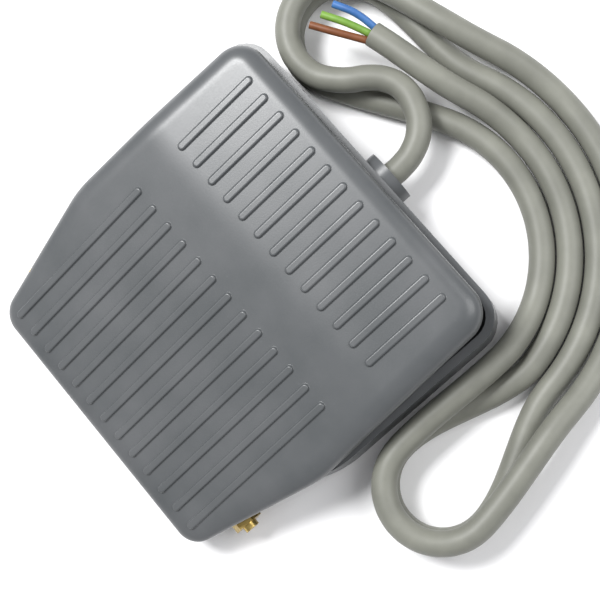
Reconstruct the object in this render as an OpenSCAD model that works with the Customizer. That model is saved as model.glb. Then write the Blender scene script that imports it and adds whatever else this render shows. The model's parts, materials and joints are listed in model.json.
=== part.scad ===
// Industrial foot switch: a cast pedal hinged low at its front end over a cast tray,
// with a snap switch, its lever and a return spring inside, and a cable at the rear.
// X runs across the pedal, +Y to the rear where the cable leaves, Z up; the feet stand on z = 0.

/* [Pedal] */
// Length of the housing, from the pedal's front edge to the end of the cable gland
overall_len = 102; // [98:0.5:108]
// Width of the pedal at its rear corners
pedal_rear_w = 94.5; // [90:0.5:97]
// Width of the pedal at the bend in its sides
pedal_mid_w = 98.5; // [95:0.5:101]
// Width of the pedal at its front edge
pedal_front_w = 80.5; // [78:0.5:86]
// How far in front of the housing's middle the sides bend
pedal_bend = 12.5; // [8:0.5:16]
// Height of the pedal's top at its front edge
front_top = 12.5; // [12.2:0.1:13.5]
// Length of the rear tread, from the pedal's rear edge to the crease between the treads
rear_tread = 33.6; // [33:0.2:38]
// Slope of the rear tread
rear_slope = 7; // [5:0.5:9]
// Slope of the front tread
front_slope = 12.1; // [10:0.1:12.5]
// Thickness of the pedal's top
pedal_t = 2.2; // [1.8:0.1:2.6]
// Thickness of the pedal's rim
rim_t = 2; // [1.6:0.1:2.4]
// Height of the rim at the rear
rim_rear = 7; // [6:0.2:8]
// Height of the rim at the front
rim_front = 3.4; // [3:0.1:3.8]
// Radius of the pedal's rear corners
corner_r = 7.8; // [7:0.2:10]
// Radius of the pedal's front corners
front_corner_r = 6.5; // [6:0.5:9]
// Radius where the sides bend
bend_r = 30; // [10:1:40]
// How far in the rounding of the top edge reaches
edge_in = 5.6; // [3:0.2:5.8]
// Height of the guard that closes the gap behind the rim
guard_h = 7.5; // [6:0.5:8]
// Thickness of the guard
guard_t = 1.6; // [1.2:0.1:2]

/* [Tread ribs] */
// Number of ribs side by side in each tread
rib_count = 13; // [9:2:13]
// Distance between neighbouring ribs
rib_pitch = 6; // [5:0.1:6.2]
// Width of a rib
rib_w = 2; // [1.4:0.1:2.6]
// Height of a rib
rib_h = 0.7; // [0.4:0.1:1.2]
// Length of the rear ribs
rear_rib_len = 25.4; // [20:0.2:27]
// Distance from the pedal's rear edge to the rear ribs
rear_rib_margin = 6; // [5.8:0.1:8]
// Distance from the pedal's front edge to the front ribs
front_rib_margin = 3.6; // [3.4:0.1:8]
// Gap between the rear and the front ribs
tread_gap = 14.3; // [12:0.1:18]

/* [Base] */
// Width of the tray across its straight sides
base_w = 101; // [99:0.5:106]
// Width of the tray at its front
base_front_w = 73; // [70:0.5:75]
// How far in front of the housing's middle the tray's sides bend
base_bend = 8; // [6:0.5:12]
// How far the gland stands out of the rear wall
gland_proud = 2.2; // [1.5:0.1:4]
// Step from the tray's rear face to the pedal's rear edge
rear_step = 2.4; // [1.5:0.1:4]
// Step from the pedal's front edge to the tray's front face
front_step = 3.4; // [3:0.1:5]
// Thickness of the tray's walls
wall = 2.2; // [1.8:0.1:3]
// Thickness of the tray's floor
floor_t = 2.2; // [1.8:0.1:3]
// Draft of the tray's walls, from their foot to their top edge
draft = 0.6; // [0.2:0.1:1.2]
// Radius of the tray's rear corners
base_corner_r = 9; // [7:0.5:14]
// Gap between the tray's walls and the rim of the fully pressed pedal
press_gap = 0.8; // [0.5:0.1:1.5]
// Distance between the two mounting holes
mount_pitch = 60; // [50:1:66]
// Diameter of the mounting holes
mount_d = 4.6; // [4:0.1:6]

/* [Feet] */
// Height of the rubber feet under the tray
foot_h = 2; // [1.5:0.1:4]
// Diameter of the feet
foot_d = 12; // [8:0.5:13]
// Diameter of the stem that plugs each foot into the floor
foot_stem_d = 4; // [3:0.2:6]
// Distance from the tray's sides to the middles of the rear feet
foot_side = 11.5; // [10:0.5:16]
// Distance from the tray's rear face to the middles of the rear feet
foot_rear = 12.8; // [11:0.2:16]
// Distance from the tray's front corners, sideways, to the middles of the front feet
front_foot_side = 15.5; // [14:0.5:18]
// Distance from the tray's front face to the middles of the front feet
foot_front = 9.6; // [8:0.2:10]

/* [Hinge] */
// Distance from the pedal's front edge to the hinge bolt
pivot_back = 15; // [13:0.5:17]
// Height of the hinge bolt
pivot_z = 7.2; // [6.8:0.1:7.6]
// Diameter of the hinge bolt
pivot_d = 4; // [3:0.5:4]
// How far the tray's hinge bosses stand out of its sides
boss_proud = 0.4; // [0.3:0.1:1]
// Radial room round the washers in the spot faces that are cut into the tray's sides
spot_gap = 0.5; // [0.3:0.1:0.8]
// Diameter of the tray's hinge bosses
boss_d = 8.6; // [8:0.1:9]
// Length of the tray's hinge bosses
boss_len = 5; // [4.5:0.1:6]
// Thickness of the pedal's hinge lugs
lug_t = 4; // [3:0.5:6]
// Diameter of the pedal's hinge lugs
lug_d = 7.6; // [7:0.1:8]
// Width across the flats of the nut and of the bolt's head
nut_af = 7; // [6:0.5:7]
// Thickness of the nut
nut_t = 3.2; // [2.5:0.1:3.6]
// Thickness of the bolt's head
head_t = 2.8; // [2:0.1:3.4]
// Length of thread that stands out of the nut
thread_out = 1.5; // [0.5:0.1:2]
// Thickness of the washers
washer_t = 0.8; // [0.5:0.1:1]
// Diameter of the washers
washer_d = 8.2; // [7.6:0.1:8.4]
// How far the pedal turns when it is pressed, in degrees
travel = 2.5; // [2:0.1:3]
// Radial running clearance of the hinge
running = 0.06; // [0.03:0.01:0.1]
// Gap between pieces that are seated beside each other
seat_gap = 0.1; // [0.05:0.01:0.2]

/* [Return spring] */
// Distance from the housing's middle to the spring
spring_y = 6; // [0:0.5:8]
// Outer diameter of the spring
spring_d = 12; // [9:0.5:14]
// Diameter of the spring wire
wire_d = 1.3; // [1:0.1:1.6]
// Number of turns
spring_turns = 6; // [4:0.5:7]
// Height of the pins that hold the spring at both ends
spring_pin = 3; // [2:0.5:4]

/* [Snap switch] */
// Length of the switch case
case_l = 27.8; // [24:0.2:30]
// Height of the switch case
case_h = 14; // [13:0.1:15.6]
// Width of the switch case
case_w = 10.3; // [9:0.1:12]
// Thickness of the case's cover
cover_t = 1.2; // [1:0.1:2]
// Distance between the two screws through the case
case_pitch = 22.2; // [18:0.1:22.4]
// Diameter of these screws
screw_d = 3; // [2:0.1:3]
// Place of the case across the housing
case_x = -20; // [-24:0.5:-16]
// Distance from the tray's rear face to the case
case_back = 9; // [8.5:0.5:11]
// Thickness of the sheet metal bracket
bracket_t = 1.5; // [1:0.1:2]
// Width of the bracket's foot
bracket_foot = 12; // [10:0.5:16]
// Diameter of the plunger
plunger_d = 3; // [2:0.1:4]
// Height of the plunger above the case
plunger_out = 1.8; // [1.2:0.1:2]
// Depth of the plunger in the case
plunger_in = 3; // [2:0.1:4]
// Thickness of the lever
lever_t = 0.6; // [0.4:0.1:1]
// Width of the lever
lever_w = 6; // [4:0.5:7]
// Distance from the lever's pin to the pedal's finger
lever_arm = 22; // [20:0.5:24]
// Distance from the lever's pin to the plunger
plunger_arm = 5; // [4:0.5:6]
// Diameter of the lever's pin
lever_pin_d = 1.6; // [1.2:0.1:1.8]
// Gap between the lever and what it touches
touch = 0.1; // [0.05:0.01:0.15]
// Diameter of the finger under the pedal that presses the lever
finger_d = 6; // [4:0.5:8]

/* [Cable] */
// Diameter of the cable
cable_d = 6.7; // [6:0.1:7]
// Place of the cable across the housing
gland_x = 2; // [-4:0.5:4]
// Height of the cable above the ground
gland_z = 10.5; // [10.2:0.1:11]
// Diameter of the gland on the rear wall
gland_d = 14.4; // [13:0.1:15]
// Thickness of the rubber grommet in the gland
grommet_t = 1.7; // [1.2:0.1:2.2]
// Length of the grommet inside the rear wall
grommet_in = 4; // [2:0.5:6]
// Length of cable inside the housing
inner_len = 19; // [18:0.5:22]
// Width of the cable clamp
clamp_w = 8; // [6:0.5:10]
// Thickness of the cable clamp
clamp_t = 1.6; // [1.2:0.1:2]
// Diameter of the insulated cores
core_d = 2; // [1.6:0.1:2.2]

/* [Hidden] */
$fn = 48;

enamel = "#80868a";
zinc = "#b9bcc0";
yellow_zinc = "#b9a06a";
steel = "#9fa3a6";
rubber = "#2b2c2d";
case_black = "#26282b";
brass = "#c2a35a";
cable_grey = "#7b7c76";

arc_steps = 6;          // straight pieces in each rounded corner
edge_share = 0.62;      // share of the rim's height that the rounding of the edge takes
inner_edge = 3.4;       // how far in the rounding reaches under the top
eps = 0.02;
bore_gap = 0.1;         // how much wider a fixed piece's bore is than what sits in it

front_y = -overall_len / 2;
gland_end = overall_len / 2;
base_rear = gland_end - gland_proud;
base_front = front_y + front_step;
pedal_rear = base_rear - rear_step;
crease_y = pedal_rear - rear_tread;
crease_z = front_top + (crease_y - front_y) * tan(front_slope);
pivot_y = front_y + pivot_back;
floor_z = foot_h + floor_t;
cable_r = cable_d / 2;
side_share = (pivot_y - base_front) / (-base_bend - base_front);
pivot_span = base_front_w + (base_w - base_front_w) * side_share + 2 * boss_proud;

// Height of the tread, of the rim's lower edge and of the tray's top edge at y
function tread(y) = crease_z + (y - crease_y) * tan(y > crease_y ? rear_slope : front_slope);
function rim_h(y) = rim_front + (rim_rear - rim_front) * (y - front_y) / (pedal_rear - front_y);
function rim_edge(y) = tread(y) - rim_h(y);
function wall_top(y) = rim_edge(y) - press_gap - (y - pivot_y) * tan(travel);

// Corners of an outline as [x, y, radius], anticlockwise from the rear right; a corner with no
// radius is a point on a straight side, where the surface above it has its crease.
function outline(rear_w, rear_y, mid_w, mid_y, front_w, front_y, rear_r, mid_r, front_r) =
    let (crease_w = mid_w + (rear_w - mid_w) * (crease_y - mid_y) / (rear_y - mid_y))
    [
        [rear_w / 2, rear_y, rear_r], [-rear_w / 2, rear_y, rear_r],
        [-crease_w / 2, crease_y, 0], [-mid_w / 2, mid_y, mid_r],
        [-front_w / 2, front_y, front_r], [front_w / 2, front_y, front_r],
        [mid_w / 2, mid_y, mid_r], [crease_w / 2, crease_y, 0]
    ];

pedal_outline = outline(pedal_rear_w, pedal_rear, pedal_mid_w, -pedal_bend, pedal_front_w,
                        front_y, corner_r, bend_r, front_corner_r);
base_outline = outline(base_w, base_rear, base_w, -base_bend, base_front_w,
                       base_front, base_corner_r, bend_r, front_corner_r);

// The outline with its corners rounded, moved inwards by d
function inward(a, b) = let (v = [b.x - a.x, b.y - a.y] / norm([b.x - a.x, b.y - a.y])) [-v.y, v.x];
function ring(corners, d) = [
    for (i = [0:len(corners) - 1])
        let (
            c = corners[i],
            n1 = inward(corners[(i + len(corners) - 1) % len(corners)], c),
            n2 = inward(c, corners[(i + 1) % len(corners)]),
            m = (n1 + n2) / (1 + n1 * n2),
            r = max(c[2] - d, 0.4),
            centre = [c.x, c.y] + m * (d + r),
            a1 = atan2(-n1.y, -n1.x),
            turn = (atan2(-n2.y, -n2.x) - a1 + 360) % 360
        )
        each c[2] == 0
            ? [[c.x + d / n1.x, c.y]]
            : [for (k = [0:arc_steps]) centre + r * [cos(a1 + turn * k / arc_steps),
                                                     sin(a1 + turn * k / arc_steps)]]
];

// A closed solid through rings of points, from the top one down
module loft(rings) {
    n = len(rings[0]);
    left = 2 * (arc_steps + 1);
    right = n - 1;
    last = (len(rings) - 1) * n;
    polyhedron(
        points = [for (r = rings) each r],
        faces = [
            [right, for (i = [left:-1:0]) i],
            [for (i = [right:-1:left]) i],
            for (k = [0:len(rings) - 2], i = [0:n - 1])
                let (a = k * n + i, b = k * n + (i + 1) % n)
                each [[a, b, b + n], [a, b + n, a + n]],
            [for (i = [0:left]) last + i, last + right],
            [for (i = [left:right]) last + i]
        ]
    );
}

// A round tube of constant radius along a list of points
module tube(path, r, sides = 10) {
    n = len(path);
    points = [
        for (i = [0:n - 1])
            let (
                t = path[min(i + 1, n - 1)] - path[max(i - 1, 0)],
                s = cross(t, [0, 0, 1]) / norm(cross(t, [0, 0, 1])),
                u = cross(s, t) / norm(cross(s, t))
            )
            for (k = [0:sides - 1]) path[i] + r * (s * cos(360 * k / sides) + u * sin(360 * k / sides))
    ];
    polyhedron(
        points = points,
        faces = [
            [for (k = [0:sides - 1]) k],
            for (i = [0:n - 2], k = [0:sides - 1])
                let (a = i * sides + k, b = i * sides + (k + 1) % sides)
                each [[a, a + sides, b + sides], [a, b + sides, b]],
            [for (k = [sides - 1:-1:0]) (n - 1) * sides + k]
        ]
    );
}

// A cylinder along X or Y whose first end is at the given point
module along_x(p, d, len, fn = 48) translate(p) rotate([0, 90, 0]) cylinder(d = d, h = len, $fn = fn);
module along_y(p, d, len) translate(p) rotate([-90, 0, 0]) cylinder(d = d, h = len);

// A hexagon prism along X with a flat side up
module hex_x(p, af, len) translate(p) rotate([0, 90, 0]) rotate(30)
    cylinder(d = af / cos(30), h = len, $fn = 6);

// ---- Pedal ----

function shell_ring(inset, share, below) = [
    for (p = ring(pedal_outline, inset)) [p.x, p.y, tread(p.y) - share * rim_h(p.y) - below]
];

module pedal_skin() {
    loft(concat(
        [for (a = [0:15:90]) shell_ring(edge_in * (1 - sin(a)), edge_share * (1 - cos(a)), 0)],
        [shell_ring(0, 1, 0)]
    ));
}

module pedal_hollow() {
    loft(concat(
        [for (a = [0:30:90]) shell_ring(rim_t + inner_edge * (1 - sin(a)), edge_share * (1 - cos(a)),
                                        pedal_t * cos(a))],
        [shell_ring(rim_t, 1, 1)]
    ));
}

// The guard hangs inside the tray's rear and side walls and closes the gap under the rim
guard_gap = 0.2;        // how far inside the tray's rear face the guard starts
guard_in = rear_step + guard_gap;
guard_front = 2;
notch_gap = 0.8;        // room between the guard's notch and the gland when the pedal is down
module guard() {
    drop = (pedal_rear - pivot_y) * sin(travel);
    notch_d = gland_d + 2 * notch_gap;
    difference() {
        intersection() {
            difference() {
                loft([shell_ring(guard_in, 0, pedal_t / 2), shell_ring(guard_in, 1, guard_h)]);
                loft([shell_ring(guard_in + guard_t, 0, pedal_t / 2 - 1),
                      shell_ring(guard_in + guard_t, 1, guard_h + 1)]);
            }
            translate([-pedal_mid_w / 2, guard_front, 0])
                cube([pedal_mid_w, pedal_rear, 2 * crease_z]);
        }
        along_y([gland_x, 0, gland_z + drop], notch_d, pedal_rear);
        translate([gland_x - notch_d / 2, 0, 0]) cube([notch_d, pedal_rear, gland_z + drop]);
    }
}

// A row of ribs that stand on a sloped tread, from their rear ends at y forwards
module ribs(rear_y, rib_len, slope) {
    for (i = [0:rib_count - 1])
        translate([(i - (rib_count - 1) / 2) * rib_pitch, rear_y, tread(rear_y)])
            rotate([slope, 0, 0])
                translate([0, 0, -0.5]) {
                    linear_extrude(0.5 + rib_h) union() {
                        translate([0, -rib_w / 2]) circle(d = rib_w, $fn = 16);
                        translate([0, rib_w / 2 - rib_len]) circle(d = rib_w, $fn = 16);
                        translate([-rib_w / 2, rib_w / 2 - rib_len]) square([rib_w, rib_len - rib_w]);
                    }
                }
}

rear_rib_y = pedal_rear - rear_rib_margin;
front_rib_y = rear_rib_y - rear_rib_len * cos(rear_slope) - tread_gap;
front_rib_len = (front_rib_y - front_y - front_rib_margin) / cos(front_slope);

lug_x = pivot_span / 2 - boss_len - seat_gap;
module lug(side) {
    x0 = side > 0 ? lug_x - lug_t : -lug_x;
    ends = [pivot_y - lug_d / 2, pivot_y + lug_d / 2];
    along_x([x0, pivot_y, pivot_z], lug_d, lug_t);
    translate([x0, 0, 0]) rotate([90, 0, 90]) linear_extrude(lug_t) polygon([
        [ends[0], pivot_z], [ends[1], pivot_z],
        [ends[1], tread(ends[1]) - pedal_t / 2], [ends[0], tread(ends[0]) - pedal_t / 2]
    ]);
}

// Under the top: long stiffeners, the seat and pin of the spring and the finger for the lever
spring_seat_z = tread(spring_y - spring_d / 2) - pedal_t - 1;
pin_play = 0.6;         // how much narrower the spring's pins are than its inside
pin_d = spring_d - 2 * wire_d - pin_play;
seat_rim = 1;           // how far the spring's seat stands out round the spring
stiffener_h = 2.4;
stiffener_t = 1.8;
stiffener_len = 72;
stiffener_x = 5 * rib_pitch;
crown = 0.6;            // height of the rounded ends of the finger and the plunger
module underside() {
    for (x = [-stiffener_x, stiffener_x])
        intersection() {
            loft([shell_ring(rim_t, 0, pedal_t / 2), shell_ring(rim_t, 0, pedal_t + stiffener_h)]);
            translate([x - stiffener_t / 2, pivot_y + lug_d, 0])
                cube([stiffener_t, stiffener_len, 2 * crease_z]);
        }
    translate([0, spring_y, spring_seat_z])
        cylinder(d = spring_d + 2 * seat_rim,
                 h = tread(spring_y - spring_d / 2) - pedal_t / 2 - spring_seat_z);
    translate([0, spring_y, spring_seat_z - spring_pin]) cylinder(d = pin_d, h = spring_pin + 1);
    translate([case_x, finger_y, finger_z])
        rotate_extrude() polygon(concat(
            [[0, tread(finger_y) - pedal_t / 2 - finger_z], [0, 0]],
            [for (a = [15:15:90]) [finger_d / 2 * sin(a), crown * (1 - cos(a))]],
            [[finger_d / 2, tread(finger_y) - pedal_t / 2 - finger_z]]
        ));
}

module pedal() {
    color(enamel) difference() {
        union() {
            difference() {
                pedal_skin();
                pedal_hollow();
            }
            guard();
            ribs(rear_rib_y, rear_rib_len, rear_slope);
            ribs(front_rib_y, front_rib_len, front_slope);
            lug(-1);
            lug(1);
            underside();
        }
        along_x([-pivot_span / 2, pivot_y, pivot_z], pivot_d + 2 * running, pivot_span);
    }
}

// ---- Base ----

function tray_ring(inset, z) = [for (p = ring(base_outline, inset)) [p.x, p.y, z]];
function tray_top(inset, above) = [for (p = ring(base_outline, inset)) [p.x, p.y, wall_top(p.y) + above]];

window_gap = 0.8;
module lug_window(side) {
    x0 = side > 0 ? lug_x - lug_t - window_gap : -lug_x - seat_gap;
    translate([x0, pivot_y - lug_d / 2 - window_gap, foot_h - 1])
        cube([lug_t + window_gap + seat_gap, lug_d + 2 * window_gap, floor_t + 2]);
}

boss_y = [base_rear - wall - grommet_in, gland_end];
grommet_r = cable_r + grommet_t;
grommet_len = boss_y[1] - boss_y[0];
clamp_y = gland_end - inner_len + clamp_w / 2 + 0.5;
saddle_w = 2 * cable_d + 4 * clamp_t + 2 * screw_d;
clamp_screw_x = cable_r + clamp_t + screw_d + 0.4;
saddle_z = gland_z - cable_r;
earth_back = 20.8;
earth_at = [20, base_rear - earth_back];
earth_post_h = 4;
earth_post_d = 8;
rear_foot = [base_w / 2 - foot_side, base_rear - foot_rear];
front_foot = [base_front_w / 2 - front_foot_side, base_front + foot_front];
feet_at = [[-rear_foot.x, rear_foot.y], rear_foot, [-front_foot.x, front_foot.y], front_foot];
bracket_x = case_x - case_w / 2 - bracket_t;
bracket_screw_x = bracket_x - bracket_foot / 2;
bracket_screw_in = 5;
case_front_y = base_rear - case_back - case_l;
bracket_screw_y = [case_front_y + bracket_screw_in, case_front_y + case_l - bracket_screw_in];
mount_y = -8;

module floor_bore(p, d) translate([p.x, p.y, foot_h - 1]) cylinder(d = d, h = floor_t + 2);
module post_bore(p) translate([p.x, p.y, floor_z]) cylinder(d = screw_d + bore_gap, h = gland_z);

module base_body() {
    difference() {
        union() {
            difference() {
                loft([tray_top(draft, 0), tray_ring(0, foot_h)]);
                loft([tray_top(draft + wall, 1), tray_ring(wall, floor_z)]);
            }
            along_y([gland_x, boss_y[0], gland_z], gland_d, grommet_len);
            for (side = [-1, 1])
                along_x([side > 0 ? pivot_span / 2 - boss_len : -pivot_span / 2, pivot_y, pivot_z],
                        boss_d, boss_len);
            translate([0, spring_y, floor_z - eps]) cylinder(d = pin_d, h = spring_pin + eps);
            translate([gland_x - saddle_w / 2, clamp_y - clamp_w / 2, floor_z - eps])
                cube([saddle_w, clamp_w, saddle_z - floor_z + eps]);
            translate([earth_at.x, earth_at.y, floor_z - eps])
                cylinder(d = earth_post_d, h = earth_post_h + eps);
        }
        // Spot faces for the washers, then the bores of the gland, the hinge, the mounting holes,
        // the feet and the screws
        for (side = [-1, 1])
            along_x([side > 0 ? pivot_span / 2 : -base_w / 2, pivot_y, pivot_z],
                    washer_d + 2 * spot_gap, (base_w - pivot_span) / 2);
        along_y([gland_x, boss_y[0] - 1, gland_z], 2 * grommet_r + bore_gap, grommet_len + 2);
        along_x([-pivot_span / 2 - 1, pivot_y, pivot_z], pivot_d + 2 * running, pivot_span + 2);
        for (side = [-1, 1]) {
            lug_window(side);
            floor_bore([side * mount_pitch / 2, mount_y], mount_d);
            post_bore([gland_x + side * clamp_screw_x, clamp_y]);
        }
        for (p = feet_at) floor_bore(p, foot_stem_d + bore_gap);
        for (y = bracket_screw_y) floor_bore([bracket_screw_x, y], screw_d + bore_gap);
        post_bore(earth_at);
    }
}

module base() color(enamel) base_body();

// ---- Hinge ----

module pivot_bolt() {
    color(yellow_zinc) {
        head = pivot_span / 2 + washer_t;
        hex_x([-head - head_t, pivot_y, pivot_z], nut_af, head_t);
        along_x([-head - head_t / 2, pivot_y, pivot_z], pivot_d,
                2 * head + head_t / 2 + nut_t + thread_out);
    }
}

module pivot_nut() {
    color(yellow_zinc) difference() {
        hex_x([pivot_span / 2 + washer_t, pivot_y, pivot_z], nut_af, nut_t);
        along_x([pivot_span / 2, pivot_y, pivot_z], pivot_d + bore_gap, 2 * nut_t + washer_t);
    }
}

module pivot_washer(side) {
    x0 = side > 0 ? pivot_span / 2 : -pivot_span / 2 - washer_t;
    color(zinc) difference() {
        along_x([x0, pivot_y, pivot_z], washer_d, washer_t);
        along_x([x0 - 1, pivot_y, pivot_z], pivot_d + bore_gap, washer_t + 2);
    }
}

// ---- Return spring ----

spring_lift = 0.15;
module return_spring() {
    steps = 14;
    low = floor_z + wire_d / 2 + spring_lift;
    high = spring_seat_z - wire_d / 2 - 2 * spring_lift;
    turns = [0, 1, spring_turns - 1, spring_turns];
    heights = [low, low + wire_d, high - wire_d, high];
    color(steel) tube([
        for (k = [0:spring_turns * steps])
            [(spring_d - wire_d) / 2 * cos(360 * k / steps), spring_y + (spring_d - wire_d) / 2
             * sin(360 * k / steps), lookup(k / steps, [for (i = [0:3]) [turns[i], heights[i]]])]
    ], wire_d / 2, 6);
}

// ---- Feet ----

module foot(i) {
    p = feet_at[i];
    color(rubber) translate([p.x, p.y, 0]) {
        rotate_extrude() polygon([
            [0, 0], [foot_d / 2 - 0.6, 0], [foot_d / 2, 0.6], [foot_d / 2, foot_h],
            [foot_stem_d / 2, foot_h], [foot_stem_d / 2, floor_z], [0, floor_z]
        ]);
    }
}

// ---- Snap switch ----

case_z = floor_z + seat_gap;
case_top = case_z + case_h;
case_skin_x = case_x - case_w / 2 + cover_t;
lever_pin_in = 3;
lever_pin_y = case_front_y + lever_pin_in;
plunger_y = lever_pin_y + plunger_arm;
finger_y = lever_pin_y + lever_arm;
lever_press = asin((finger_y - pivot_y) * sin(travel) / lever_arm);
lever_rest = lever_press * 0.66;      // rise of the lever at rest; pressed, it dips below level
lever_pin_z = case_top + plunger_out;
finger_z = lever_pin_z + lever_arm * sin(lever_rest) + lever_t / 2 + touch;
plunger_top = lever_pin_z + plunger_arm * sin(lever_rest) - lever_t / 2 - touch;
case_screw_y = [case_front_y + (case_l - case_pitch) / 2, case_front_y + (case_l + case_pitch) / 2];
case_screw_z = case_z + case_h * 2 / 3;
ear_t = 1.2;
ear_rim = 0.4;          // material round the lever's pin in the ears
barrel_wall = 0.5;

module case_bores(x0, len)
    for (y = case_screw_y) along_x([x0, y, case_screw_z], screw_d + bore_gap, len);

module switch_case() {
    color(case_black) difference() {
        union() {
            translate([case_skin_x, case_front_y, case_z]) cube([case_w - cover_t, case_l, case_h]);
            for (side = [-1, 1])
                translate([case_x + side * (lever_w / 2 + seat_gap + ear_t / 2) - ear_t / 2,
                           lever_pin_y - lever_pin_d, case_top - eps])
                    cube([ear_t, 2 * lever_pin_d, plunger_out + lever_pin_d / 2 + ear_rim + eps]);
        }
        case_bores(case_x - case_w, 2 * case_w);
        translate([case_x, plunger_y, case_top - plunger_in])
            cylinder(d = plunger_d + 2 * running, h = plunger_in + 1);
        along_x([case_x - case_w, lever_pin_y, lever_pin_z], lever_pin_d + bore_gap, 2 * case_w);
    }
}

module switch_cover() {
    color(case_black) difference() {
        translate([case_x - case_w / 2, case_front_y, case_z]) cube([cover_t, case_l, case_h]);
        case_bores(case_x - case_w, case_w);
    }
}

module switch_plunger() {
    stroke = plunger_arm * (sin(lever_rest) + sin(lever_press - lever_rest)) + 2 * touch;
    low = case_top - plunger_in + stroke + touch;
    color("#8c2f28") translate([case_x, plunger_y, low])
        rotate_extrude() polygon(concat(
            [[0, 0], [plunger_d / 2, 0]],
            [for (a = [0:15:90]) [plunger_d / 2 * cos(a), plunger_top - low - crown * (1 - sin(a))]]
        ));
}

module switch_lever() {
    color(steel) translate([case_x, lever_pin_y, lever_pin_z]) rotate([lever_rest, 0, 0])
        difference() {
            union() {
                translate([-lever_w / 2, 0, -lever_t / 2]) cube([lever_w, lever_arm + 3, lever_t]);
                along_x([-lever_w / 2, 0, 0], lever_pin_d + 2 * barrel_wall, lever_w);
            }
            along_x([-lever_w, 0, 0], lever_pin_d + 2 * running, 2 * lever_w);
        }
}

module lever_pin() {
    reach = lever_w / 2 + seat_gap + ear_t;
    color(steel) along_x([case_x - reach, lever_pin_y, lever_pin_z], lever_pin_d, 2 * reach);
}

blade_w = 4.8;
blade_t = 0.8;
blade_len = 7;
blade_z = case_z + 4;
blade_gap = 1.6;
blade_hole_d = 1.6;
blade_y = [for (i = [0:2]) case_front_y + lever_pin_in + i * (blade_w + blade_gap)];
module terminal(i) {
    color(brass) difference() {
        translate([case_x + case_w / 2, blade_y[i] - blade_w / 2, blade_z - blade_t / 2])
            cube([blade_len, blade_w, blade_t]);
        translate([case_x + case_w / 2 + blade_len * 0.7, blade_y[i], blade_z - blade_t])
            cylinder(d = blade_hole_d, h = 2 * blade_t);
    }
}

module switch_bracket() {
    color(zinc) difference() {
        union() {
            translate([bracket_x, case_front_y, floor_z]) cube([bracket_t, case_l, case_h]);
            translate([bracket_x - bracket_foot, case_front_y, floor_z])
                cube([bracket_foot + eps, case_l, bracket_t]);
        }
        case_bores(bracket_x - 1, bracket_t + 2);
        for (y = bracket_screw_y)
            translate([bracket_screw_x, y, floor_z - 1])
                cylinder(d = screw_d + bore_gap, h = bracket_t + 2);
    }
}

screw_head_d = 5.5;
screw_head_t = 1.8;
module screw_down(p, len) color(zinc) translate(p) {
    cylinder(d = screw_head_d, h = screw_head_t);
    translate([0, 0, -len]) cylinder(d = screw_d, h = len);
}

module bracket_screw(i)
    screw_down([bracket_screw_x, bracket_screw_y[i], floor_z + bracket_t], bracket_t + floor_t);

case_nut_af = 5.5;
case_nut_t = 2.4;
module switch_screw(i) {
    grip = case_w + bracket_t + case_nut_t + 1;
    color(zinc) {
        along_x([case_x + case_w / 2, case_screw_y[i], case_screw_z], screw_head_d, screw_head_t);
        along_x([case_x + case_w / 2 - grip, case_screw_y[i], case_screw_z], screw_d, grip);
    }
}

module switch_nut(i) {
    color(zinc) difference() {
        hex_x([bracket_x - case_nut_t, case_screw_y[i], case_screw_z], case_nut_af, case_nut_t);
        along_x([bracket_x - 2 * case_nut_t, case_screw_y[i], case_screw_z], screw_d + bore_gap,
                3 * case_nut_t);
    }
}

// ---- Cable ----

module cable_grommet() {
    color(rubber) difference() {
        along_y([gland_x, boss_y[0], gland_z], 2 * grommet_r, grommet_len);
        along_y([gland_x, boss_y[0] - 1, gland_z], cable_d + bore_gap, grommet_len + 2);
    }
}

module cable_inner()
    color(cable_grey) along_y([gland_x, gland_end - inner_len, gland_z], cable_d, inner_len);

module cable_clamp() {
    out = cable_r + bore_gap / 2 + clamp_t;
    color(zinc) difference() {
        union() {
            along_y([gland_x, clamp_y - clamp_w / 2, gland_z], 2 * out, clamp_w);
            translate([gland_x - out, clamp_y - clamp_w / 2, saddle_z]) cube([2 * out, clamp_w, cable_r]);
            translate([gland_x - saddle_w / 2, clamp_y - clamp_w / 2, saddle_z])
                cube([saddle_w, clamp_w, clamp_t]);
        }
        along_y([gland_x, clamp_y - clamp_w, gland_z], cable_d + bore_gap, 2 * clamp_w);
        translate([gland_x - (cable_d + bore_gap) / 2, clamp_y - clamp_w, 0])
            cube([cable_d + bore_gap, 2 * clamp_w, gland_z]);
        translate([gland_x - saddle_w, clamp_y - clamp_w, 0]) cube([2 * saddle_w, 2 * clamp_w, saddle_z]);
        for (side = [-1, 1])
            translate([gland_x + side * clamp_screw_x, clamp_y, 0])
                cylinder(d = screw_d + bore_gap, h = 3 * gland_z);
    }
}

screw_end_gap = 0.2;
module clamp_screw(side)
    screw_down([gland_x + side * clamp_screw_x, clamp_y, saddle_z + clamp_t],
               saddle_z + clamp_t - floor_z - screw_end_gap);

tag_w = 4;
module earth_tag() {
    color(brass) translate([earth_at.x, earth_at.y, floor_z + earth_post_h]) difference() {
        union() {
            cylinder(d = earth_post_d, h = blade_t);
            translate([-earth_post_d, -tag_w / 2, 0]) cube([earth_post_d, tag_w, blade_t]);
        }
        translate([0, 0, -1]) cylinder(d = screw_d + bore_gap, h = 3);
    }
}

module earth_screw()
    screw_down([earth_at.x, earth_at.y, floor_z + earth_post_h + blade_t],
               earth_post_h + blade_t - screw_end_gap);

// A core runs from the end of the cable to a terminal along a cubic curve
function curve(a, b, c, d, n = 8) = [
    for (i = [0:n]) let (t = i / n)
        a * pow(1 - t, 3) + 3 * b * t * pow(1 - t, 2) + 3 * c * pow(t, 2) * (1 - t) + d * pow(t, 3)
];

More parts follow.
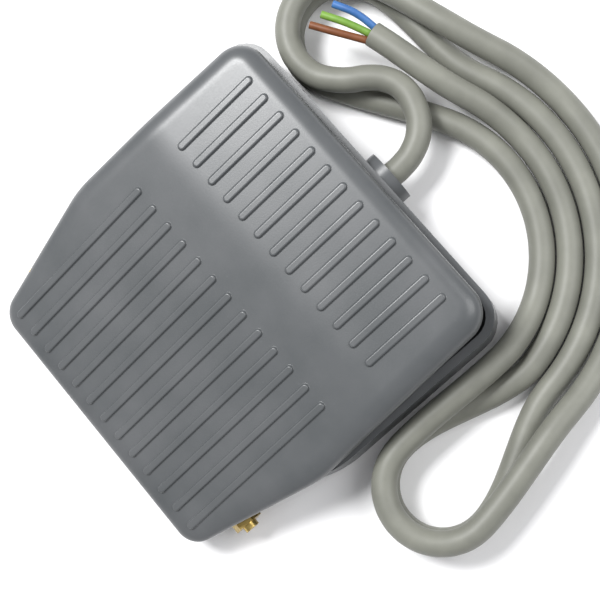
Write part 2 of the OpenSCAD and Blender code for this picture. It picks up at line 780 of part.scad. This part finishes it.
// The three cores lie round the middle of the cable, one above and two below
core_ring = 1.2;
core_gap = 0.2;         // from the end of the cable's sheath to the cores' own solids
blade_reach = 9;        // how far the cores run straight on before they turn to the switch
blade_side = 8;         // and how far they run straight on to their blades
earth_reach = 7;
function core_start(i) = [
    gland_x + core_ring * cos(90 + 120 * i), gland_end - inner_len - core_gap,
    gland_z + core_ring * sin(90 + 120 * i)
];
module core_to_blade(i) {
    a = core_start(i);
    end = [case_x + case_w / 2 + blade_len - core_d, blade_y[i], blade_z + blade_t / 2 + core_d / 2];
    tube(curve(a, a - [0, blade_reach, 0], end + [blade_side, 0, 0], end), core_d / 2, 8);
}

module core_common() color("#7a4a2b") core_to_blade(0);
module core_open() color("#3b6fa8") core_to_blade(1);
module core_earth() {
    a = core_start(2);
    end = [earth_at.x - earth_post_d + core_d / 2, earth_at.y,
           floor_z + earth_post_h + blade_t + core_d / 2];
    color("#6f9a3a") tube(curve(a, a - [0, earth_reach, 0], end - [earth_reach, 0, 0], end), core_d / 2, 8);
}

// ---- Cord ----
// It leaves the gland, swings left over the hank's inner turns and enters the hank, which lies on
// the ground round the rear right corner: four strands side by side, folded back at both ends.

cord_route = [
    [gland_x, gland_end, gland_z], [gland_x, gland_end + 3, gland_z], [1, 59, 10.6],
    [-2.2, 64, 10.8], [-7, 67, 11], [-12.5, 68, 11], [-17.5, 66.5, 11], [-21.5, 63, 11],
    [-24, 59.5, 11]
];

hank_arc = [17, 37];        // middle of the bend round the tray's corner
hank_r = 49;                // its radius at the middle of the strands
hank_w = 28;                // width of the four strands
hank_h = 7;                 // height of one layer
fold_d = 35;                // width of the folds at both ends
hank_turn = [6.4, 114];     // where the bend starts and ends
hank_ends = [[69.6, 8], [-36.6, 66.8]];

module strip(a, b, w) {
    len = norm(b - a);
    translate(a) rotate(atan2(b.y - a.y, b.x - a.x)) translate([0, -w / 2]) square([len, w]);
}

module cord_hank() {
    on_arc = [for (a = hank_turn) hank_arc + hank_r * [cos(a), sin(a)]];
    color(cable_grey) {
        linear_extrude(hank_h) {
            for (i = [0, 1]) strip(on_arc[i], hank_ends[i], hank_w);
            difference() {
                intersection() {
                    translate(hank_arc) circle(r = hank_r + hank_w / 2, $fn = 96);
                    polygon([hank_arc, for (a = [hank_turn[0]:(hank_turn[1] - hank_turn[0]) / 4:
                             hank_turn[1]]) hank_arc + 2 * hank_r * [cos(a), sin(a)]]);
                }
                translate(hank_arc) circle(r = hank_r - hank_w / 2, $fn = 96);
            }
        }
        linear_extrude(2 * hank_h) for (i = [0, 1]) {
            translate(hank_ends[i]) circle(d = fold_d);
            strip(hank_ends[i], hank_ends[i] + (on_arc[i] - hank_ends[i]) * 0.5, hank_w);
        }
    }
}

module cord() color(cable_grey) tube(cord_route, cable_r, 12);

// The stripped cores at the cord's far end, which fan out on top of the left fold
cores_z = 2 * hank_h + 0.6 * core_d;
module cord_cores() {
    for (i = [-1:1]) color(["#7a4a2b", "#6f9a3a", "#3b6fa8"][i + 1])
        tube([[-28, 69 + 2.2 * i, cores_z], [-34, 67 + 2.6 * i, cores_z], [-41, 65 + 4 * i, cores_z]],
             core_d / 2, 8);
}

base();
pedal();
pivot_bolt();
pivot_nut();
pivot_washer(-1);  // pivot_washer_left
pivot_washer(1);  // pivot_washer_right
return_spring();
foot(0);  // foot_rear_left
foot(1);  // foot_rear_right
foot(2);  // foot_front_left
foot(3);  // foot_front_right
switch_bracket();
bracket_screw(0);  // bracket_screw_front
bracket_screw(1);  // bracket_screw_rear
switch_case();
switch_cover();
switch_plunger();
switch_lever();
lever_pin();
terminal(0);  // terminal_common
terminal(1);  // terminal_open
terminal(2);  // terminal_closed
switch_screw(0);  // switch_screw_front
switch_screw(1);  // switch_screw_rear
switch_nut(0);  // switch_nut_front
switch_nut(1);  // switch_nut_rear
cable_grommet();
cable_inner();
cable_clamp();
clamp_screw(-1);  // clamp_screw_left
clamp_screw(1);  // clamp_screw_right
earth_tag();
earth_screw();
core_common();
core_open();
core_earth();
cord();
cord_hank();
cord_cores();
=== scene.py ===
import json
import math

import bmesh
import bpy
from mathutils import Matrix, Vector


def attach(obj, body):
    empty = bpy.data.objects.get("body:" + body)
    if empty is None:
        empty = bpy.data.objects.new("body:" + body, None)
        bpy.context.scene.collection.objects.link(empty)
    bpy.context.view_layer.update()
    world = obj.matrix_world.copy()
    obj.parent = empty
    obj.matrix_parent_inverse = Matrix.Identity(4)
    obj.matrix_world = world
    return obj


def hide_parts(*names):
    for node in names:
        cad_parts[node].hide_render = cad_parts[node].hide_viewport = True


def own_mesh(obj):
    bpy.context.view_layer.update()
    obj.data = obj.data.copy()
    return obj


# Industrial foot switch. Sizes are in millimetres until they are handed to Blender in metres.
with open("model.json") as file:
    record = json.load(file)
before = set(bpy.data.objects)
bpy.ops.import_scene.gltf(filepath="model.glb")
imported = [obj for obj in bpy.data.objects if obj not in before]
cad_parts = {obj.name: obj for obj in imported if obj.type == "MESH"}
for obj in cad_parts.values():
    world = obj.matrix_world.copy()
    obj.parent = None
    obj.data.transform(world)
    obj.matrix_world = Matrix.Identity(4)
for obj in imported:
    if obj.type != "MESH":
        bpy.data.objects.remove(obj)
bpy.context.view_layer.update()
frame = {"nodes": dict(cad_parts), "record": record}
MM = 0.001                       # metres in a millimetre


def add_object(name, data):
    made = bpy.data.objects.new(name, data)
    bpy.context.scene.collection.objects.link(made)
    return made


# ---- Camera ----

def make_camera():
    data = bpy.data.cameras.new("camera")
    data.lens = 72.63
    data.sensor_width = 36
    data.clip_start = 0.01
    camera = add_object("camera", data)
    camera.location = (0.0641, 0.0355, 0.3173)
    camera.rotation_euler = [math.radians(a) for a in (4.644, 9.754, 49.2)]
    bpy.context.scene.camera = camera


make_camera()


# ---- Materials ----

TONE_ENDS = 0.3, 0.7             # noise values at which the dark and the light tone are reached
ROUGH_SPREAD = 0.06              # how far the grain moves the roughness, up and down
BUMP_STRENGTH = 0.6
COAT_ROUGHNESS = 0.25
SPECK_SCALE = 0.35               # cells in a millimetre, each with one speck
SPECK_EDGE = 0.05, 0.12          # where a speck starts to fade and where it ends, in cells
SPECK_TONE = "#5a5d60"


def add_node(tree, kind, settings=(), **inputs):
    """A node with its settings, and its inputs linked or set by name (an underscore is a space)."""
    made = tree.nodes.new(kind)
    for name, value in dict(settings).items():
        setattr(made, name, value)
    for name, value in inputs.items():
        socket = made.inputs[name.replace("_", " ")]
        if isinstance(value, bpy.types.NodeSocket):
            tree.links.new(value, socket)
        else:
            socket.default_value = value
    return made


def colour(hex_code):
    """A linear colour from an sRGB hex code."""
    parts = [int(hex_code[i:i + 2], 16) / 255 for i in (1, 3, 5)]
    return [p / 12.92 if p <= 0.04045 else ((p + 0.055) / 1.055) ** 2.4 for p in parts] + [1]


def surface(name, dark, light, patch, rough, grain, bump, metallic=0.0, coat=0.0, specks=0.0):
    """Two tones in patches of the given size, with a fine grain in roughness and height.

    patch, grain and bump, the grain's height, are in millimetres. specks is how strongly
    small dull spots show."""
    made = bpy.data.materials.new(name)
    made.use_nodes = True
    tree = made.node_tree
    tree.nodes.clear()
    place = add_node(tree, "ShaderNodeTexCoord")
    in_mm = add_node(tree, "ShaderNodeVectorMath", {"operation": "SCALE"},
                     Vector=place.outputs["Object"], Scale=1000.0).outputs[0]
    patches = add_node(tree, "ShaderNodeTexNoise", Vector=in_mm, Scale=1 / patch, Detail=4.0)
    fine = add_node(tree, "ShaderNodeTexNoise", Vector=in_mm, Scale=1 / grain, Detail=3.0)
    tone = add_node(tree, "ShaderNodeValToRGB", Fac=patches.outputs[0])
    for i, code in enumerate((dark, light)):
        tone.color_ramp.elements[i].position = TONE_ENDS[i]
        tone.color_ramp.elements[i].color = colour(code)
    shade = tone.outputs[0]
    if specks:
        dots = add_node(tree, "ShaderNodeTexVoronoi", Vector=in_mm, Scale=SPECK_SCALE)
        spot = add_node(tree, "ShaderNodeMapRange", Value=dots.outputs["Distance"],
                        From_Min=SPECK_EDGE[0], From_Max=SPECK_EDGE[1],
                        To_Min=specks, To_Max=0.0)
        mix = add_node(tree, "ShaderNodeMix", {"data_type": "RGBA"})
        tree.links.new(spot.outputs[0], mix.inputs[0])
        tree.links.new(tone.outputs[0], mix.inputs[6])
        mix.inputs[7].default_value = colour(SPECK_TONE)
        shade = mix.outputs[2]
    roughness = add_node(tree, "ShaderNodeMapRange", Value=fine.outputs[0],
                         To_Min=rough - ROUGH_SPREAD, To_Max=rough + ROUGH_SPREAD)
    height = add_node(tree, "ShaderNodeBump", Height=fine.outputs[0], Strength=BUMP_STRENGTH,
                      Distance=bump * MM)
    shader = add_node(tree, "ShaderNodeBsdfPrincipled", Base_Color=shade, Metallic=metallic,
                      Roughness=roughness.outputs[0], Normal=height.outputs[0],
                      Coat_Weight=coat, Coat_Roughness=COAT_ROUGHNESS)
    add_node(tree, "ShaderNodeOutputMaterial", Surface=shader.outputs[0])
    return made


FINISHES = {
    # satin enamel over a casting: faint mottling, fine orange peel and a few dull specks
    "enamel": surface("enamel", "#4d5052", "#595b5d", 16, 0.34, 0.4, 0.014, coat=0.12, specks=0.3),
    # yellow passivated zinc plate, uneven from the bath
    "yellow_zinc": surface("yellow_zinc", "#a8894a", "#cdb673", 2, 0.3, 0.15, 0.004, metallic=1.0),
    # bright zinc plate with its fine crystals
    "zinc": surface("zinc", "#a4a7aa", "#bfc2c5", 2, 0.34, 0.2, 0.005, metallic=1.0),
    # drawn spring wire
    "spring_steel": surface("spring_steel", "#85888b", "#9fa2a5", 3, 0.3, 0.2, 0.004, metallic=1.0),
    # moulded rubber, dull and slightly dusty
    "rubber": surface("rubber", "#232425", "#2f3031", 4, 0.8, 0.3, 0.02),
    # moulded plastic of the snap switch, lightly spark eroded
    "black_plastic": surface("black_plastic", "#222427", "#2b2d30", 6, 0.5, 0.2, 0.012),
    # moulded plunger
    "red_plastic": surface("red_plastic", "#7f2620", "#95322a", 3, 0.35, 0.2, 0.006),
    # bare brass, slightly tarnished
    "brass": surface("brass", "#a5863f", "#c8a85a", 2, 0.32, 0.2, 0.004, metallic=1.0),
    # soft PVC sheath, matt with a faint talc bloom
    "cable": surface("cable", "#71726a", "#7f8077", 9, 0.5, 0.35, 0.02),
    # PVC insulation of the three cores
    "core_brown": surface("core_brown", "#6c3f24", "#7d4c2e", 3, 0.45, 0.2, 0.006),
    "core_blue": surface("core_blue", "#34609a", "#4272ae", 3, 0.45, 0.2, 0.006),
    "core_green": surface("core_green", "#648c34", "#789f43", 3, 0.45, 0.2, 0.006),
}


def dress(piece, slot, body):
    """Gives a new piece the material of the given slot, and its body."""
    piece.data.materials.clear()
    piece.data.materials.append(FINISHES[slot])
    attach(piece, body)


def dress_solids():
    """Gives each solid of the frame the material of its slot."""
    slots = {part["node"]: part["material_slot"] for part in frame["record"]["subparts"]}
    for name, solid in frame["nodes"].items():
        for place in solid.material_slots:
            place.material = FINISHES[slots[name]]
        if not solid.material_slots:
            solid.data.materials.append(FINISHES[slots[name]])


dress_solids()


# ---- Cord ----
# It leaves the gland, swings left over the hank's inner strands and goes four times along the
# hank's band, which bends round the rear right corner, with a fold at each end.

CABLE_D = 6.7
GLAND = (2, 51, 10.5)            # where it leaves the tray's boss
LEAD = [
    GLAND, (2, 54, 10.5), (1, 59, 10.6), (-2.2, 64, 10.8), (-7, 67, 11), (-12.5, 68, 11),
    (-17.5, 66.5, 11), (-21.5, 63, 11), (-24, 59.5, 11), (-27, 56.6, 10.6)
]
ARC = Vector((17, 37))           # centre of the bend in the middle of the band
ARC_R = 49
ARC_START, ARC_END = math.radians(6.4), math.radians(114)
RIGHT, LEFT = Vector((69.6, 8)), Vector((-36.6, 66.8))
FOLD_R, FOLD_STEPS = 14, 12
LANE = 7                         # from one strand of the band to the next
FLOOR_Z, UPPER_Z = CABLE_D / 2 + 0.05, 10.15
STEP = 4.5                       # from one point of a strand to the next
EASE_LEN = 38                    # how long a strand takes to leave its lane or its height
LEVEL_LEN = 22                   # how far from a fold it still has the fold's height
FREE_SIDE, FREE_Z, FREE_STOP = 2, 12, 8    # where the last strand ends, before the left fold
CORE_D, CORE_GAP, CORE_IN = 2, 1.4, 2      # width, spacing at the sheath and length inside it
CORE_TIP, CORE_SPREAD = (-41, 61, 15.2), 4
CORE_RISE = 1.2                  # how far a core arches up between its ends


def on_arc(angle):
    return ARC + ARC_R * Vector((math.cos(angle), math.sin(angle)))


RIGHT_LEN = (on_arc(ARC_START) - RIGHT).length
ARC_LEN = ARC_R * (ARC_END - ARC_START)
BAND_LEN = RIGHT_LEN + ARC_LEN + (LEFT - on_arc(ARC_END)).length


def band_point(along, side):
    """The point so far along the band from its right end, and so far out from its middle."""
    if along < RIGHT_LEN:
        way = (on_arc(ARC_START) - RIGHT).normalized()
        middle = RIGHT + way * along
    elif along < RIGHT_LEN + ARC_LEN:
        angle = ARC_START + (along - RIGHT_LEN) / ARC_R
        way = Vector((-math.sin(angle), math.cos(angle)))
        middle = on_arc(angle)
    else:
        way = (LEFT - on_arc(ARC_END)).normalized()
        middle = on_arc(ARC_END) + way * (along - RIGHT_LEN - ARC_LEN)
    return middle + side * Vector((way.y, -way.x))


def fold(at_left, start, end, height):
    """Half a turn round an end of the band; angles are measured from the band's outer side."""
    middle, before = (LEFT, on_arc(ARC_END)) if at_left else (RIGHT, on_arc(ARC_START))
    away = (middle - before).normalized()
    outer = Vector((away.y, -away.x)) * (1 if at_left else -1)
    for k in range(FOLD_STEPS + 1):
        angle = math.radians(start + (end - start) * k / FOLD_STEPS)
        point = middle + FOLD_R * (outer * math.cos(angle) + away * math.sin(angle))
        yield (*point, height)


def ease(share):
    """From 0 to 1, with a soft start and end."""
    share = min(1, max(0, share))
    return share * share * (3 - 2 * share)


def strand(to_left, side, left_side, right_side, left_z, right_z, stop=0):
    """One pass along the band, which leaves its place only near the folds."""
    count = round(BAND_LEN / STEP)
    for k in range(1, count):
        along = BAND_LEN * (k if to_left else count - k) / count
        to_end = BAND_LEN - along
        if to_left and to_end < stop:
            return
        out = side + (right_side - side) * (1 - ease(along / EASE_LEN))
        out += (left_side - side) * (1 - ease(to_end / EASE_LEN))
        height = FLOOR_Z + (right_z - FLOOR_Z) * (1 - ease((along - LEVEL_LEN) / EASE_LEN))
        height += (left_z - FLOOR_Z) * (1 - ease((to_end - LEVEL_LEN) / EASE_LEN))
        yield (*band_point(along, out), height)


def cord_line():
    outer, inner = 1.5 * LANE, 0.5 * LANE
    line = list(LEAD)
    line += fold(True, 180, 0, UPPER_Z)
    line += strand(False, outer, FOLD_R, FOLD_R, UPPER_Z, UPPER_Z)
    line += fold(False, 0, 180, UPPER_Z)
    line += strand(True, -outer, -FOLD_R, -FOLD_R, FLOOR_Z, UPPER_Z)
    line += fold(True, 180, 0, FLOOR_Z)
    line += strand(False, inner, FOLD_R, FOLD_R, FLOOR_Z, FLOOR_Z)
    line += fold(False, 0, 180, FLOOR_Z)
    line += strand(True, -inner, FREE_SIDE, -FOLD_R, FREE_Z, FLOOR_Z, stop=FREE_STOP)
    return [Vector(point) * MM for point in line]


def curve_piece(name, points, diameter):
    data = bpy.data.curves.new(name, "CURVE")
    data.dimensions = "3D"
    data.bevel_depth = diameter / 2 * MM
    data.bevel_resolution = 8
    data.resolution_u = 5
    data.use_fill_caps = True
    line = data.splines.new("BEZIER")
    line.bezier_points.add(len(points) - 1)
    for place, point in zip(line.bezier_points, points):
        place.co = point
        place.handle_left_type = place.handle_right_type = "AUTO"
    return add_object(name, data)


def make_cord():
    line = cord_line()
    cord = curve_piece("cable", line, CABLE_D)
    dress(cord, "cable", "base")
    way = (line[-1] - line[-2]).normalized()
    x, y, z = CORE_TIP
    for i, slot in enumerate(("core_brown", "core_green", "core_blue")):
        tip = Vector((x, y + CORE_SPREAD * i, z)) * MM
        middle = (line[-1] + tip) / 2 + Vector((0, 0, CORE_RISE * MM))
        side = Vector((-way.y, way.x, 0)) * (1 - i) * CORE_GAP * MM
        root = line[-1] - way * CORE_IN * MM + side
        core = curve_piece(slot, [root, middle + side, tip], CORE_D)
        dress(core, slot, "base")
    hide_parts("cord", "cord_hank")
    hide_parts("cord_cores")


make_cord()


# ---- Pedal ----
# The skin repeats the casting's outline with finer rounding, a soft crease and ribs with
# rounded edges. What lies under it is taken over from the solid.

FRONT_Y, REAR_Y = -51, 46.4
REAR_W, MID_W, FRONT_W = 94.5, 98.5, 80.5
BEND_Y = -12.5
REAR_R, BEND_R, FRONT_R = 7.8, 30, 6.5
CREASE_Y = 12.8
FRONT_SLOPE, REAR_SLOPE = math.radians(12.1), math.radians(7)
FRONT_TOP = 12.5                 # height of the tread at the front end
CREASE_Z = FRONT_TOP + (CREASE_Y - FRONT_Y) * math.tan(FRONT_SLOPE)
CREASE_HALF = 3                  # half the width of the soft crease
CREASE_EDGE = 0.4                # from the crease to the rows that bound the flat treads
RIM_FRONT, RIM_REAR, RIM_T = 3.4, 7, 2     # height of the rim at both ends, and its thickness
RIM_ROUND = 0.3                  # rounding of the rim's outer lower edge
EDGE_IN, EDGE_SHARE = 5.6, 0.62  # how far in the rolled edge starts, and its share of the rim
TREAD_IN = 0.6                   # from the rolled edge to the flat of the tread
WALL_SHARES = 0.8, 0.93          # rows of the rim under the rolled edge
LEAST_R = 0.4                    # smallest corner radius that an inset leaves
ARC_STEPS = 14
RIB_COUNT, RIB_PITCH, RIB_W, RIB_H = 13, 6, 2, 0.7
RIB_STEPS = 8
# A rib's section as inset and height: a fillet at the foot and a rounded upper edge
RIB_PROFILE = [(-0.25, 0), (-0.08, 0.06), (0, 0.22), (0.04, RIB_H - 0.24), (0.14, RIB_H - 0.08),
               (0.34, RIB_H), (0.5, RIB_H)]
REAR_RIB_Y, REAR_RIB_LEN = 40.4, 25.4
RIB_ROWS_GAP, FRONT_RIB_MARGIN = 14.3, 3.6
FRONT_RIB_Y = REAR_RIB_Y - REAR_RIB_LEN * math.cos(REAR_SLOPE) - RIB_ROWS_GAP
FRONT_RIB_LEN = (FRONT_RIB_Y - FRONT_Y - FRONT_RIB_MARGIN) / math.cos(FRONT_SLOPE)
TOP_DEPTH, SIDE_DEPTH = 1.6, 1.4           # how deep the solid's own outer faces are left out
TINY = 1e-9


def tread(y):
    """Height of the tread, with the crease eased over its width."""
    before, behind = math.tan(FRONT_SLOPE), math.tan(REAR_SLOPE)
    off = y - CREASE_Y
    if abs(off) < CREASE_HALF:
        eased = (behind - before) * (off + CREASE_HALF) ** 2 / (4 * CREASE_HALF)
        return CREASE_Z + before * off + eased
    return CREASE_Z + (behind if off > 0 else before) * off


def rim_height(y):
    return RIM_FRONT + (RIM_REAR - RIM_FRONT) * (y - FRONT_Y) / (REAR_Y - FRONT_Y)


def side_rows():
    """Where the soft crease crosses the sides, from the rear to the front."""
    edge = CREASE_HALF + CREASE_EDGE
    across = range(CREASE_HALF, -CREASE_HALF - 1, -1)
    return [CREASE_Y + v for v in (edge, *across, -edge)]


def corners():
    """Corners of the plan as x, y and radius; those without a radius only mark the crease."""
    def half(y):
        return (MID_W + (REAR_W - MID_W) * (y - BEND_Y) / (REAR_Y - BEND_Y)) / 2
    left = [(-half(y), y, 0) for y in side_rows()]
    right = [(half(y), y, 0) for y in reversed(side_rows())]
    return [
        (REAR_W / 2, REAR_Y, REAR_R), (-REAR_W / 2, REAR_Y, REAR_R), *left,
        (-MID_W / 2, BEND_Y, BEND_R), (-FRONT_W / 2, FRONT_Y, FRONT_R),
        (FRONT_W / 2, FRONT_Y, FRONT_R), (MID_W / 2, BEND_Y, BEND_R), *right
    ]


def inset_outline(inset):
    """The outline with its corners rounded, moved inwards."""
    made = []
    points = corners()
    for i, (x, y, radius) in enumerate(points):
        here = Vector((x, y))
        before = (here - Vector(points[i - 1][:2])).normalized()
        after = (Vector(points[(i + 1) % len(points)][:2]) - here).normalized()
        n1, n2 = Vector((-before.y, before.x)), Vector((-after.y, after.x))
        if radius == 0:
            made.append(Vector((x + inset / n1.x, y)))
            continue
        middle = (n1 + n2) / (1 + n1.dot(n2))
        left_over = max(radius - inset, LEAST_R)
        centre = here + middle * (inset + left_over)
        start = math.atan2(-n1.y, -n1.x)
        turn = (math.atan2(-n2.y, -n2.x) - start) % (2 * math.pi)
        for k in range(ARC_STEPS + 1):
            angle = start + turn * k / ARC_STEPS
            made.append(centre + left_over * Vector((math.cos(angle), math.sin(angle))))
    return made


def skin_ring(inset, share):
    """The outline moved inwards, at a share of the rim's height below the tread."""
    return [Vector((p.x, p.y, tread(p.y) - share * rim_height(p.y))) for p in inset_outline(inset)]


def mesh_piece(name, mesh):
    """A smooth piece from a mesh in millimetres."""
    for face in mesh.faces:
        face.smooth = True
    data = bpy.data.meshes.new(name)
    bmesh.ops.scale(mesh, vec=(MM, MM, MM), verts=mesh.verts)
    bmesh.ops.recalc_face_normals(mesh, faces=mesh.faces)
    mesh.to_mesh(data)
    mesh.free()
    return add_object(name, data)


def stitch(mesh, rings):
    """Closes the walls between rings of as many points and gives back the rings' vertices."""
    made = [[mesh.verts.new(p) for p in ring] for ring in rings]
    count = len(rings[0])
    for upper, lower in zip(made, made[1:]):
        for i in range(count):
            j = (i + 1) % count
            mesh.faces.new((upper[i], upper[j], lower[j], lower[i]))
    return made


def make_skin():
    mesh = bmesh.new()
    turns = [math.radians(a) for a in range(0, 91, 6)]
    rings = [skin_ring(EDGE_IN + TREAD_IN, 0)]
    rings += [skin_ring(EDGE_IN * (1 - math.sin(a)), EDGE_SHARE * (1 - math.cos(a)))
              for a in turns]
    rings += [skin_ring(0, share) for share in WALL_SHARES]
    rings += [skin_ring(RIM_ROUND, 1), skin_ring(RIM_T, 1)]
    top = stitch(mesh, rings)[0]
    # The rear tread, the strips of the crease and the front tread close the top
    rows = len(side_rows())
    first_left = 2 * (ARC_STEPS + 1)
    last_right = len(top) - 1
    mesh.faces.new([top[last_right]] + top[:first_left + 1])
    for k in range(rows - 1):
        a, b = first_left + k, last_right - k
        mesh.faces.new((top[b], top[a], top[a + 1], top[b - 1]))
    mesh.faces.new(top[first_left + rows - 1:last_right - rows + 2])
    return mesh_piece("pedal_skin", mesh)


def rib_outline(length, inset):
    """A long slot shape along Y whose rear end is at 0."""
    radius = RIB_W / 2 - inset
    ends = [(-RIB_W / 2, 0), (RIB_W / 2 - length, math.pi)]
    return [
        Vector((radius * math.cos(start + math.pi * k / RIB_STEPS),
                y + radius * math.sin(start + math.pi * k / RIB_STEPS)))
        for y, start in ends for k in range(RIB_STEPS + 1)
    ]


def rib_row(name, material):
    """Copies of the incoming rib in a row along X, half of them on each side of the middle."""
    tree = bpy.data.node_groups.new(name, "GeometryNodeTree")
    ports = tree.interface
    ports.new_socket("Geometry", in_out="INPUT", socket_type="NodeSocketGeometry")
    count = ports.new_socket("Count", in_out="INPUT", socket_type="NodeSocketInt")
    count.default_value = RIB_COUNT
    pitch = ports.new_socket("Pitch", in_out="INPUT", socket_type="NodeSocketFloat")
    pitch.default_value = RIB_PITCH * MM
    ports.new_socket("Geometry", in_out="OUTPUT", socket_type="NodeSocketGeometry")
    given = add_node(tree, "NodeGroupInput")
    offset = add_node(tree, "ShaderNodeCombineXYZ", X=given.outputs["Pitch"])
    steps = add_node(tree, "ShaderNodeMath", {"operation": "SUBTRACT"})
    tree.links.new(given.outputs["Count"], steps.inputs[0])
    steps.inputs[1].default_value = 1
    half = add_node(tree, "ShaderNodeMath", {"operation": "MULTIPLY"})
    tree.links.new(steps.outputs[0], half.inputs[0])
    half.inputs[1].default_value = -0.5
    start = add_node(tree, "ShaderNodeVectorMath", {"operation": "SCALE"},
                     Vector=offset.outputs[0], Scale=half.outputs[0])
    row = add_node(tree, "GeometryNodeMeshLine", Count=given.outputs["Count"],
                   Start_Location=start.outputs[0], Offset=offset.outputs[0])
    copies = add_node(tree, "GeometryNodeInstanceOnPoints", Points=row.outputs[0],
                      Instance=given.outputs["Geometry"])
    whole = add_node(tree, "GeometryNodeRealizeInstances", Geometry=copies.outputs[0])
    painted = add_node(tree, "GeometryNodeSetMaterial", Geometry=whole.outputs[0],
                       Material=material)
    add_node(tree, "NodeGroupOutput", Geometry=painted.outputs[0])
    return tree


def make_ribs(name, rear_y, length, slope):
    """A row of ribs on a sloped tread, from their rear ends forwards."""
    mesh = bmesh.new()
    rings = [[(*p, z) for p in rib_outline(length, inset)] for inset, z in RIB_PROFILE]
    rise = math.tan(slope)
    upright = [[Vector((x, rear_y + y * math.cos(slope) - z * math.sin(slope),
                        tread(rear_y) + y * math.cos(slope) * rise + z * math.cos(slope)))
                for x, y, z in ring] for ring in rings]
    mesh.faces.new(stitch(mesh, upright)[-1])
    single = mesh_piece(name + "_one", mesh)
    row = single.modifiers.new("row", "NODES")
    row.node_group = rib_row(name, FINISHES["enamel"])
    shown = single.evaluated_get(bpy.context.evaluated_depsgraph_get())
    whole = add_object(name, bpy.data.meshes.new_from_object(shown))
    bpy.data.objects.remove(single)
    return whole


def make_underside():
    """The solid's own faces under the skin: hollow, guard, lugs, stiffeners, seat and finger."""
    mesh = bmesh.new()
    mesh.from_mesh(frame["nodes"]["pedal"].data)
    bmesh.ops.scale(mesh, vec=(1 / MM, 1 / MM, 1 / MM), verts=mesh.verts)
    outline = inset_outline(0)

    def inset(p):
        """How far a point lies from the outline."""
        gaps = []
        for a, b in zip(outline, outline[1:] + outline[:1]):
            along = max(0, min(1, (p - a).dot(b - a) / max((b - a).length_squared, TINY)))
            gaps.append((p - a - (b - a) * along).length)
        return min(gaps)

    outer = []
    for face in mesh.faces:
        c = face.calc_center_median()
        if tread(c.y) - c.z < TOP_DEPTH or inset(c.xy) < SIDE_DEPTH:
            outer.append(face)
    bmesh.ops.delete(mesh, geom=outer, context="FACES")
    for face in mesh.faces:
        face.smooth = False
    data = bpy.data.meshes.new("pedal_underside")
    bmesh.ops.scale(mesh, vec=(MM, MM, MM), verts=mesh.verts)
    mesh.to_mesh(data)
    mesh.free()
    return add_object("pedal_underside", data)


def make_pedal():
    skin = make_skin()
    pieces = [
        skin, make_underside(),
        make_ribs("rear_ribs", REAR_RIB_Y, REAR_RIB_LEN, REAR_SLOPE),
        make_ribs("front_ribs", FRONT_RIB_Y, FRONT_RIB_LEN, FRONT_SLOPE)
    ]
    for piece in pieces:
        dress(piece, "enamel", "pedal")
    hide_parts("pedal")


make_pedal()


# ---- Return spring ----
# It stands on the tray's floor. The real one is pushed together when the pedal goes down and
# leans back a little then, because its seat swings about the hinge; this smooth copy of the solid
# keeps its shape and does not follow the pedal.


def make_spring():
    data = frame["nodes"]["return_spring"].data.copy()
    spring = add_object("spring", data)
    for face in data.polygons:
        face.use_smooth = True
    dress(spring, "spring_steel", "base")
    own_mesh(spring)
    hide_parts("return_spring")


make_spring()


# ---- Floor, light and background ----
# Sizes and places here are in metres.

FLOOR_HALF = 1.5
LIT = Vector((0, 0.02, 0.02))    # the middle of the tread
SOFT_LIGHT = 0.42


def make_floor():
    """A plain matt floor."""
    half = FLOOR_HALF
    rim = [(-half, -half, 0), (half, -half, 0), (half, half, 0), (-half, half, 0)]
    data = bpy.data.meshes.new("floor")
    data.from_pydata(rim, [], [(0, 1, 2, 3)])
    floor = add_object("floor", data)
    material = bpy.data.materials.new("floor")
    material.use_nodes = True
    shader = material.node_tree.nodes["Principled BSDF"]
    shader.inputs["Base Color"].default_value = colour("#f6f6f7")
    shader.inputs["Roughness"].default_value = 0.9
    data.materials.append(material)


def make_light(name, way, distance, size, power):
    """A square lamp that lights the tread from the given direction; power is in watts."""
    data = bpy.data.lights.new(name, "AREA")
    data.size = size
    data.energy = power
    lamp = add_object(name, data)
    lamp.location = LIT + Vector(way).normalized() * distance
    lamp.rotation_euler = (LIT - lamp.location).to_track_quat("-Z", "Y").to_euler()


def make_background():
    """White where the camera sees it, and a softer grey as light."""
    world = bpy.data.worlds.new("studio")
    bpy.context.scene.world = world
    world.use_nodes = True
    tree = world.node_tree
    tree.nodes.clear()
    rays = add_node(tree, "ShaderNodeLightPath")
    white = add_node(tree, "ShaderNodeBackground", Color=(1, 1, 1, 1), Strength=1.0)
    soft = add_node(tree, "ShaderNodeBackground", Color=(0.98, 0.98, 1, 1),
                    Strength=SOFT_LIGHT)
    mix = add_node(tree, "ShaderNodeMixShader")
    tree.links.new(rays.outputs["Is Camera Ray"], mix.inputs[0])
    tree.links.new(soft.outputs[0], mix.inputs[1])
    tree.links.new(white.outputs[0], mix.inputs[2])
    add_node(tree, "ShaderNodeOutputWorld", Surface=mix.outputs[0])


make_floor()
make_light("key", (-0.5, -0.1, 0.88), 0.9, 0.3, 10)
make_light("fill", (0.5, 0.9, 1.1), 1.1, 0.7, 6)
make_background()
bpy.context.scene.view_settings.view_transform = "Standard"
